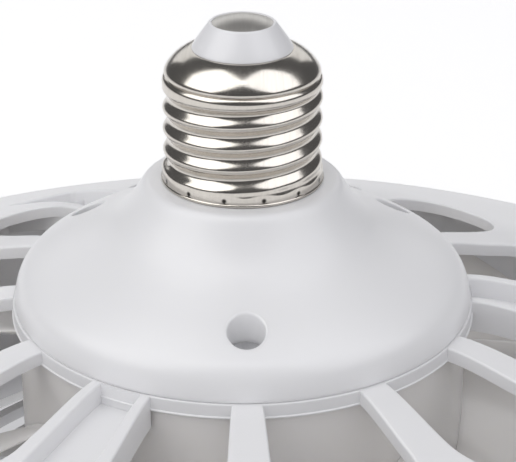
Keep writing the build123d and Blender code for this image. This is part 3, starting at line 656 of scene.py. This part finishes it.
@dataclass
class Guard:
    """Hub plate, ribs with wire channels, light ring and duct."""

    ribs: int = 12
    channel_every: int = 4
    rib_half: float = np.radians(3.6)
    channel_half: float = np.radians(7.8)
    channel_wall: float = np.radians(2.6)
    channel_depth: float = 3.6
    channel_low: float = 5.6
    channel_end: float = 82.0
    channel_round: float = 1.5
    thickness: float = 2.4
    ease: float = np.radians(0.5)
    root_r: float = 38.9
    plate_r: float = 38.95
    vent_r: float = 64.0
    curve_r: float = 39.5
    root_lift: float = 1.0
    lift_end: float = 52.0
    vent_round: float = 0.92
    curve_run: float = 28.4
    root_slope: float = 0.065
    flank_slope: float = 0.417
    rib_drop: float = 1.5
    join_r: float = 88.0
    edge_run: float = 7.5
    edge_fall: float = 6.6
    wall: float = 2.2
    duct_r: float = 76.0
    chamber_top: float = 36.9
    ledge_w: float = 5.5
    ledge: tuple[float, float] = (5.0, 8.0)
    line: int = 15
    side: int = 60
    bend: int = 6
    across: int = 10
    lamp_r: float = field(init=False)
    foot: float = field(init=False)

    def __post_init__(self) -> None:
        """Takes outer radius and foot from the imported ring."""
        low, high = span("light_ring")
        self.lamp_r, self.foot = high[0], low[2]

    def top(self, radius: Array) -> Array:
        """Height of ribs and ring: a parabola in the radius that runs out into a straight flank."""
        run = np.clip(radius - self.curve_r, None, self.curve_run)
        flank = np.maximum(radius - self.curve_r - self.curve_run, 0.0)
        share = np.maximum(run, 0.0) / self.curve_run / 2
        slope = self.root_slope + (self.flank_slope - self.root_slope) * share
        root = self.root_lift * (1.0 - smooth(self.plate_r, self.lift_end, radius))
        return RIM - self.rib_drop - run * slope - self.flank_slope * flank + root

    def half(self, index: int) -> float:
        """Half angle of a rib, wider for a wire channel."""
        return self.channel_half if index % self.channel_every == 0 else self.rib_half

    def vent_edge(self, index: int) -> tuple[Array, Array, float]:
        """Outline of the air opening after a rib.

        Args:
            index: Number of the rib before the opening.

        Returns:
            Points in plan and outward normals from the inner end of one rib edge to that of the next: a
            radial line, a corner arc and an arc about the axis, then the same mirrored. The third value is
            the easing of the edge in millimetres.
        """
        step = TAU / self.ribs
        start = index * step + self.half(index)
        end = (index + 1) * step - self.half(index + 1)
        taper = np.sin((end - start) / 2)
        bend = self.vent_round * self.vent_r * taper / (1 + taper)
        centre = self.vent_r - bend
        swing = np.arcsin(bend / centre)
        tangent = np.sqrt(centre**2 - bend**2)
        ease = self.ease * tangent
        line_r = np.linspace(self.root_r, tangent, self.line)[:-1]
        near = polar(line_r, start, 0.0)[:, :2] / MM
        near_n = np.broadcast_to([np.sin(start), -np.cos(start)], near.shape) * (line_r / tangent)[:, None]
        turn = np.linspace(start - TAU / 4, start + swing, 14)
        arc_n = unit(turn)
        half = np.vstack([near, centre * unit(start + swing) + bend * arc_n])
        normal = np.vstack([near_n, arc_n])
        x, y = np.cos(start + end), np.sin(start + end)
        mirror = np.array([[x, y], [y, -x]])
        across = np.linspace(start + swing, end - swing, 5)[1:-1]
        flat_n = unit(across)
        points = np.vstack([half, self.vent_r * flat_n, (half @ mirror)[::-1]])
        normals = np.vstack([normal, flat_n, (normal @ mirror)[::-1]])
        return points, normals, ease

    def lift(self, plan: Array, drop: Array | float = 0.0) -> Array:
        """Points of the top surface above points in plan, lowered by drop, in metres."""
        radius = np.linalg.norm(plan, axis=-1)
        return np.concatenate([plan, (self.top(radius) - drop)[..., None]], axis=-1) * MM

    def outward(self, first: Array, stop: float, rows: int, drop: float = 0.0) -> Array:
        """Grid from a row of points in plan straight outwards to a circle, on the top surface."""
        radius = np.linalg.norm(first, axis=1)
        share = np.linspace(0.0, 1.0, rows)[:, None, None]
        scale = 1.0 + share * (stop / radius - 1.0)[None, :, None]
        return self.lift(first[None] * scale, drop)

    def edge_strip(self, points: Array, normals: Array, ease: float, low: float) -> Array:
        """Rounded edge and wall below it, along an outline.

        Args:
            points: Outline in plan.
            normals: Normals away from the opening.
            ease: Radius of the rounding.
            low: Depth of the wall's foot under the top surface.

        Returns:
            Grid from the wall's foot up to the eased top: offset e(1 - sin t) along the normal and depth
            e(1 - cos t), with t from a quarter turn to 0.
        """
        bend = np.linspace(np.pi / 2, 0.0, 6)
        shift = np.concatenate([[0.0], ease * (1 - np.sin(bend))])[:, None, None]
        drop = np.concatenate([[low], ease * (1 - np.cos(bend))])[:, None]
        return self.lift(points[None] + shift * normals[None], np.broadcast_to(drop, (7, len(points))))

    def between(self, left: Array, right: Array, columns: int) -> Array:
        """Rows of points in plan from one edge to the other."""
        share = np.linspace(0.0, 1.0, columns)[None, :, None]
        return left[:, None] * (1 - share) + right[:, None] * share

    def add_rib(self, sheet: Sheet, left: Array, right: Array) -> None:
        """Adds a plain rib's top between two eased edges, and the ring's flank beyond it."""
        plan = self.between(left, right, 7)
        sheet.add(self.lift(plan))
        sheet.add(self.outward(plan[-1], self.join_r, 30))

    def add_channel(self, sheet: Sheet, left: Array, right: Array, angle: float) -> None:
        """Adds a wire channel: its two walls, the sunk floor with eased edges and the ring beyond it.

        Args:
            sheet: Sheet of the guard.
            left: Eased edge at the lower angle.
            right: Eased edge at the higher angle.
            angle: Middle of the channel.
        """
        inner = self.channel_half - self.channel_wall
        lip = inner + self.ease
        for side, edge in ((-1, left), (1, right)):
            radius = np.linalg.norm(edge, axis=1)
            facing = polar(radius, angle + side * lip, 0.0)[:, :2] / MM
            plan = self.between(edge, facing, 6) if side < 0 else self.between(facing, edge, 6)
            sheet.add(self.lift(plan))
            sheet.add(self.outward(plan[-1], self.join_r, 30))
        ease = self.ease * self.channel_end
        points, normals = self.channel_edge(angle)
        sheet.add(self.edge_strip(points, normals, ease, self.channel_depth))
        eased = points + ease * normals
        sheet.add(self.outward(eased[self.side - 1:len(points) - self.side + 1], self.join_r, 8))
        reach = np.linspace(angle - inner, angle + inner, 20)[None, :]
        low = float(self.top(np.array(self.plate_r))) - self.channel_depth - 0.1
        sheet.add(polar(self.plate_r - 0.02, reach, np.array([[low], [RIM - 0.4]])))
        count = self.side + self.bend - 1
        floor = self.between(points[:count], points[::-1][:count], 20)
        sheet.add(self.lift(floor, self.channel_depth))
        tail = points[count - 1:len(points) - count + 1]
        middle = 0.5 * (tail[0] + tail[-1]) * np.ones_like(tail)
        sheet.add(self.lift(np.stack([middle, tail]), self.channel_depth))

    def channel_edge(self, angle: float) -> tuple[Array, Array]:
        """Outline of a channel's floor.

        Args:
            angle: Middle of the channel.

        Returns:
            Points in plan and outward normals: a radial line, a corner arc and an arc about the axis, then
            the same mirrored.
        """
        inner = self.channel_half - self.channel_wall
        radius = np.linspace(self.root_r, self.channel_end - self.channel_round, self.side)
        corner = np.linspace(0.0, TAU / 4, self.bend)[1:]
        swing = self.channel_round / self.channel_end
        arc_a = angle - inner + swing * (1 - np.cos(corner))
        arc_r = self.channel_end - self.channel_round * (1 - np.sin(corner))
        end_a = np.linspace(angle - inner + swing, angle + inner - swing, self.across + 2)[1:-1]
        left_a = np.concatenate([np.full(self.side, angle - inner), arc_a])
        left_r = np.concatenate([radius, arc_r])
        left_t = np.concatenate([-radius / self.channel_end, -np.cos(corner)])
        left_o = np.concatenate([np.zeros(self.side), np.sin(corner)])
        ring_a = np.concatenate([left_a, end_a, (2 * angle - left_a)[::-1]])
        ring_r = np.concatenate([left_r, np.full(self.across, self.channel_end), left_r[::-1]])
        tangential = np.concatenate([left_t, np.zeros(self.across), -left_t[::-1]])
        radial = np.concatenate([left_o, np.ones(self.across), left_o[::-1]])
        out = unit(ring_a)
        along = np.stack([-np.sin(ring_a), np.cos(ring_a)], axis=1)
        return ring_r[:, None] * out, tangential[:, None] * along + radial[:, None] * out

    def build(self) -> None:
        """Builds the guard and the ring as one welded surface."""
        sheet = Sheet()
        edges = [self.vent_edge(index) for index in range(self.ribs)]
        eased = [points + ease * normals for points, normals, ease in edges]
        end = slice(self.line - 1, 1 - self.line)
        for index in range(self.ribs):
            before, after = eased[index - 1][::-1][:self.line], eased[index][:self.line]
            if index % self.channel_every == 0:
                self.add_channel(sheet, before, after, index * TAU / self.ribs)
            else:
                self.add_rib(sheet, before, after)
            points, normals, ease = edges[index]
            sheet.add(self.edge_strip(points, normals, ease, self.thickness))
            sheet.add(self.outward(eased[index][end], self.join_r, 30))
            sheet.add(self.outward(points[end], self.duct_r, 6, self.thickness)[::-1])
        self.add_undersides(sheet, edges)
        profile = self.ring_profile()
        sheet.add(polar(profile[:, :1], self.join_angles(sheet)[None, :], profile[:, 1:]), around=True)
        piece = sheet.build("guard_ring_look", "white_plastic", Body.HOUSING, 38.0)
        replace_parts(piece, "top_guard", "light_ring")

    def join_angles(self, sheet: Sheet) -> Array:
        """Angles at which the top's grids end on the join circle, each once, so that the seam closes."""
        points = np.vstack(sheet.points)
        ends = points[np.abs(np.hypot(points[:, 0], points[:, 1]) - self.join_r * MM) < WELD]
        return np.unique(np.round(np.arctan2(ends[:, 1], ends[:, 0]), 6))

    def prolong(self, edge: Array) -> Array:
        """Carries an edge on straight outwards to the duct's wall."""
        scale = np.linspace(1.0, self.duct_r / np.linalg.norm(edge[-1]), 6)[1:, None]
        return np.vstack([edge, edge[-1] * scale])

    def add_undersides(self, sheet: Sheet, edges: list[tuple[Array, Array, float]]) -> None:
        """Adds the undersides of ribs and channels and the sides of the channels below the ring's shell."""
        for index in range(self.ribs):
            left = self.prolong(edges[index - 1][0][::-1][:self.line])
            right = self.prolong(edges[index][0][:self.line])
            deep = index % self.channel_every == 0
            drop = self.channel_low if deep else self.thickness
            sheet.add(self.lift(self.between(left, right, 5), drop)[::-1])
            if deep:
                for edge, flip in ((left, 1), (right, -1)):
                    sheet.add(np.stack([self.lift(edge, self.thickness), self.lift(edge, drop)])[::flip])

    def ring_profile(self) -> Array:
        """Ring from the join over the rounded outer edge, round the foot and up the duct's inner wall."""
        flank = np.linspace(self.join_r, self.lamp_r - self.edge_run, 14)
        height = self.top(flank)
        edge_z, duct_z = self.top(np.array([self.lamp_r, self.duct_r]))
        edge = (self.lamp_r, edge_z - self.edge_fall)
        bend = bezier([(flank[-1], height[-1]), (self.lamp_r, edge_z), edge], 16)
        outer_r, inner_r = self.lamp_r - self.wall, self.duct_r + self.wall
        ledge_r = self.duct_r - self.ledge_w
        low, high = self.ledge
        inside = np.array([
            (self.lamp_r, self.foot + 0.4), (self.lamp_r - 0.3, self.foot), (outer_r, self.foot),
            (outer_r, edge_z - 7.0), (self.lamp_r - 9.0, edge_z + 0.6), (inner_r, self.chamber_top),
            (inner_r, self.foot), (self.duct_r, self.foot), (self.duct_r, low), (ledge_r, low),
            (ledge_r, high), (self.duct_r, high), (self.duct_r, duct_z - self.thickness)])
        top = np.stack([flank, height], axis=1)[:-1]
        return np.vstack([top, bend, inside])[::-1]


@dataclass
class HubPlate:
    """Hub plate's edge band under the canopy."""

    radius: float = 38.95
    hole_r: float = 6.0
    thickness: float = 2.4
    bead: float = 0.22
    drop: float = 0.45

    def build(self) -> None:
        """Builds the band as a disc with an eased upper edge and a small bead round its foot."""
        rim = RIM - self.drop
        low, high = rim - self.thickness, rim - 0.02
        bead_r = self.radius + self.bead
        profile = rounded([
            (self.hole_r, low, 0.0), (bead_r, low, 0.1), (bead_r, low + self.bead, 0.1),
            (self.radius, low + 1.5 * self.bead, 0.05), (self.radius, high, 0.25), (self.hole_r, high, 0.0)])
        disc = Sheet().add(turned(profile, 256), around=True, closed=True)
        disc.build("hub_plate_look", "white_plastic", Body.HOUSING)


@dataclass
class Fan:
    """Fan hub and its twisted blades."""

    blades: int = 7
    start_deg: float = 41.4
    root: float = 30.2
    hub_r: float = 38.2
    tip_r: float = 74.0
    hub_span: float = np.radians(44.0)
    tip_span: float = np.radians(40.0)
    hub_edges: tuple[float, float] = (35.5, 13.0)
    tip_edges: tuple[float, float] = (34.0, 19.5)
    camber: float = 2.2
    thick: float = 1.6
    tip_taper: float = 0.6
    loop: int = 96
    wall: float = 2.0
    bore_r: float = 2.7
    floor: tuple[float, float] = (20.6, 22.8)

    def section(self, distance: float, arc: float, edges: tuple[float, float],
                share: Array, side: Array) -> Array:
        """Strip across a blade.

        Args:
            distance: Distance of the section's plane from the axis.
            arc: Angle that the blade covers.
            edges: Depths of the lower and upper edge under the rim.
            share: Place across the blade, from -1 to 1.
            side: +1 on the upper face and -1 on the lower one.

        Returns:
            Offsets along the section's plane and heights: the chord, plus a camber and half thickness that
            fall off as 1 - share squared and as the root of 1 - share to the sixth.
        """
        half = distance * np.sin(arc / 2)
        chord = np.array([2 * half, edges[0] - edges[1]])
        normal = np.array([-chord[1], chord[0]]) / np.linalg.norm(chord)
        middle = np.array([0.0, RIM - sum(edges) / 2])
        lift = self.camber * (1 - share**2) + side * self.thick / 2 * np.sqrt(1 - share**6)
        return middle + share[:, None] * chord / 2 + lift[:, None] * normal

    def blade(self) -> Array:
        """One blade.

        Returns:
            Grid over the radius and the loop round the blade: the straight line between the root's and the
            tip's section, taken where its distance from the axis equals the radius.
        """
        turn = full_turn(self.loop)
        share, side = np.cos(turn), np.where(np.sin(turn) >= 0, 1.0, -1.0)
        inner = self.section(self.root, self.hub_span, self.hub_edges, share, side)
        outer = self.section(self.tip_r, self.tip_span, self.tip_edges, share, side)
        run = np.linspace(self.hub_r - self.wall / 2, self.tip_r - 0.3, 48)
        radius = np.concatenate([run, [self.tip_r]])[:, None]
        dx, dy = self.tip_r - self.root, outer[:, 0] - inner[:, 0]
        a = dx**2 + dy**2
        b = self.root * dx + inner[:, 0] * dy
        c = self.root**2 + inner[:, 0] ** 2 - radius**2
        place = (-b + np.sqrt(b**2 - a * c)) / a
        x = self.root + place * dx
        y = inner[:, 0] + place * dy
        z = inner[:, 1] + place * (outer[:, 1] - inner[:, 1])
        flip = -np.arange(self.loop) % self.loop
        middle = (z[-1] + z[-1][flip]) / 2
        z[-1] = middle + (z[-1] - middle) * self.tip_taper
        cap = np.stack([(x[-1] + x[-1][flip]) / 2, (y[-1] + y[-1][flip]) / 2, middle], axis=-1)
        return np.concatenate([np.stack([x, y, z], axis=-1), cap[None]]) * MM

    def build(self) -> None:
        """Builds hub and blades as one piece that turns with the rotor."""
        low, high = (corner[2] for corner in span("fan_rotor"))
        under, over = self.floor
        inner_r = self.hub_r - self.wall
        hub = rounded([
            (self.bore_r, under, 0.0), (inner_r, under, 0.3), (inner_r, low, 0.3), (self.hub_r, low, 0.6),
            (self.hub_r, high, 0.6), (inner_r, high, 0.3), (inner_r, over, 0.3), (self.bore_r, over, 0.0)])
        sheet = Sheet().add(turned(hub, 240), around=True, closed=True)
        blade = self.blade()
        turn = np.radians(self.start_deg) + TAU * np.arange(self.blades) / self.blades
        for angle in turn:
            x, y = np.cos(angle), np.sin(angle)
            spin = np.array([[x, y, 0.0], [-y, x, 0.0], [0.0, 0.0, 1.0]])
            sheet.add((blade @ spin)[:, ::-1], around=True)
        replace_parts(sheet.build("fan_rotor_look", "fan_plastic", Body.ROTOR), "fan_rotor")


@dataclass
class Diffuser:
    """Frosted ring under the light chamber."""

    inner_r: float = 76.6
    thickness: float = 2.0
    edge: float = 1.2
    outer_wall: tuple[float, float] = (126.0, 127.6)
    inner_wall: tuple[float, float] = (78.4, 80.0)

    def build(self) -> None:
        """Builds the ring with eased lower edges and two locating walls."""
        corner = span("light_diffuser")[1]
        outer_r, high, low = corner[0], corner[2], self.thickness
        (wall_a, wall_b), (wall_c, wall_d) = self.inner_wall, self.outer_wall
        profile = rounded([
            (self.inner_r, 0.0, self.edge), (outer_r, 0.0, self.edge), (outer_r, low, 0.1),
            (wall_d, low, 0.0), (wall_d, high, 0.2), (wall_c, high, 0.2), (wall_c, low, 0.2),
            (wall_b, low, 0.2), (wall_b, high, 0.2), (wall_a, high, 0.2), (wall_a, low, 0.0),
            (self.inner_r, low, 0.1)])
        ring = Sheet().add(turned(profile, 300), around=True, closed=True)
        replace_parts(ring.build("light_diffuser_look", "frosted", Body.HOUSING), "light_diffuser")


class PlainNodes:
    """CAD nodes that stay as they are and only take a finish."""

    def dress(self) -> None:
        """Gives every shown CAD node the finish of its slot."""
        slots = {part["node"]: part["material_slot"] for part in frame["record"]["subparts"]}
        for name, node in frame["nodes"].items():
            if not node.hide_render:
                node.data.materials.clear()
                node.data.materials.append(FINISHES[slots[name]].material())
                LOG.info("%s: dressed as %s", name, slots[name])


@dataclass(frozen=True)
class SoftBox:
    """One rectangular lamp, placed by its direction as seen from the object."""

    name: str
    azimuth_deg: float
    elevation_deg: float
    width: float
    height: float
    radiance: float
    use: Use
    colour: tuple[float, float, float] = (1.0, 1.0, 1.0)
    distance: float = 2.0


SOFT_BOXES = (
    SoftBox("left_card", -71.0, 53.0, 1.9, 2.4, 2.0, Use.REFLECTIONS, (1.0, 0.995, 0.98)),
    SoftBox("right_card", 68.0, 53.0, 1.9, 2.4, 1.7, Use.REFLECTIONS, (0.98, 0.98, 1.0)),
    SoftBox("back_card", 180.0, 24.0, 2.4, 0.9, 0.9, Use.REFLECTIONS),
    SoftBox("left_fill", -70.0, 45.0, 2.4, 1.6, 0.74, Use.SHADING, (1.0, 0.995, 0.98)),
    SoftBox("front_fill", 5.0, 28.0, 2.2, 1.4, 0.36, Use.SHADING, (0.98, 0.98, 1.0)),
    SoftBox("top_box", 180.0, 86.0, 2.4, 2.4, 0.40, Use.SHADING),
)


@dataclass
class Studio:
    """Floor, lamps, world and camera."""

    eye: tuple[float, float, float] = (-0.00508, -0.26965, 0.1892)
    tilt_deg: tuple[float, float, float] = (65.18, 0.0, -1.08)
    lens: float = 123.3
    sensor: float = 36.0
    shift_x: float = 0.030
    ambient: float = 0.58
    white_lift: float = 0.22
    dark_room: float = 0.11
    floor_r: float = 8.0
    floor_gap: float = 0.0001
    middle_r: float = 0.3
    opening_r: float = 0.072

    def soft_box(self, box: SoftBox) -> None:
        """Hangs a soft box that looks at the object."""
        lamp = bpy.data.lights.new(box.name, "AREA")
        lamp.shape = "RECTANGLE"
        lamp.size, lamp.size_y = box.width, box.height
        lamp.energy = box.radiance * np.pi * box.width * box.height
        lamp.color = box.colour
        item = bpy.data.objects.new(box.name, lamp)
        az, el = np.radians(box.azimuth_deg), np.radians(box.elevation_deg)
        aim = np.array([np.sin(az) * np.cos(el), -np.cos(az) * np.cos(el), np.sin(el)])
        item.location = box.distance * aim
        item.rotation_euler = (np.pi / 2 - el, 0.0, az)
        item.visible_glossy = box.use is Use.REFLECTIONS
        item.visible_diffuse = box.use is Use.SHADING
        bpy.context.scene.collection.objects.link(item)
        LOG.info("lamp %s", box.name)

    def floor(self) -> None:
        """Lays the floor, a flat ring that is open under the outlet, so that light comes through the fan."""
        reach = np.array([self.opening_r, self.middle_r, self.floor_r])[:, None] / MM
        points = polar(reach, full_turn(96), -self.floor_gap / MM)
        index = np.arange(points.shape[0] * points.shape[1]).reshape(points.shape[:2])
        ahead = np.roll(index, -1, axis=1)
        quads = np.stack([index[:-1], index[1:], ahead[1:], ahead[:-1]], axis=-1).reshape(-1, 4)
        mesh = bpy.data.meshes.new("floor")
        mesh.from_pydata(points.reshape(-1, 3), [], quads.tolist())
        mesh.materials.append(self.floor_material())
        floor = bpy.data.objects.new("floor", mesh)
        bpy.context.scene.collection.objects.link(floor)

    def floor_material(self) -> bpy.types.Material:
        """Pale matt floor that camera, glossy and transmission rays see a little nearer to white."""
        made = Finish("floor", (0.95, 0.95, 0.95), 0.7, tint=0.01).material()
        tree = made.node_tree
        path = add_node(tree, "LightPath")
        seen = path.outputs["Is Camera Ray"]
        for ray in ("Is Glossy Ray", "Is Transmission Ray"):
            either = add_node(tree, "Math")
            either.operation = "MAXIMUM"
            tree.links.new(seen, either.inputs[0])
            tree.links.new(path.outputs[ray], either.inputs[1])
            seen = either.outputs[0]
        lift = add_node(tree, "MapRange", To_Max=self.white_lift)
        tree.links.new(seen, lift.inputs["Value"])
        shader = tree.nodes["Principled BSDF"]
        shader.inputs["Emission Color"].default_value = (1.0, 1.0, 1.0, 1.0)
        tree.links.new(lift.outputs["Result"], shader.inputs["Emission Strength"])
        return made

    def build(self) -> None:
        """Builds floor, world, lamps and camera."""
        scene = bpy.context.scene
        scene.view_settings.view_transform = "Standard"
        self.floor()
        world = bpy.data.worlds.new("studio")
        scene.world = world
        world.use_nodes = True
        tree = world.node_tree
        sky = tree.nodes["Background"]
        sky.inputs["Color"].default_value = (0.97, 0.97, 1.0, 1.0)
        path = add_node(tree, "LightPath")
        level = add_node(tree, "MapRange", To_Min=self.ambient, To_Max=self.dark_room)
        tree.links.new(path.outputs["Is Glossy Ray"], level.inputs["Value"])
        tree.links.new(level.outputs["Result"], sky.inputs["Strength"])
        for box in SOFT_BOXES:
            self.soft_box(box)
        lens = bpy.data.cameras.new("photo_camera")
        lens.lens, lens.sensor_width, lens.shift_x = self.lens, self.sensor, self.shift_x
        lens.clip_start = 0.01
        camera = bpy.data.objects.new("photo_camera", lens)
        camera.location = self.eye
        camera.rotation_euler = np.radians(self.tilt_deg)
        scene.collection.objects.link(camera)
        scene.camera = camera


def clear_defaults() -> None:
    """Removes whatever the start-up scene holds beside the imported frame."""
    known = set(frame["nodes"].values()) | set(frame["bodies"].values())
    for item in list(bpy.data.objects):
        if item not in known:
            bpy.data.objects.remove(item)


def main() -> None:
    """Builds the lamp's pieces and the studio in order."""
    logging.basicConfig(level=logging.INFO, format="%(message)s")
    clear_defaults()
    NodeGroups.grain()
    NodeGroups.lathe()
    for part in (ScrewCap(), Canopy(), Guard(), HubPlate(), Fan(), Diffuser()):
        part.build()
    PlainNodes().dress()
    Studio().build()


if __name__ == "__main__":
    main()
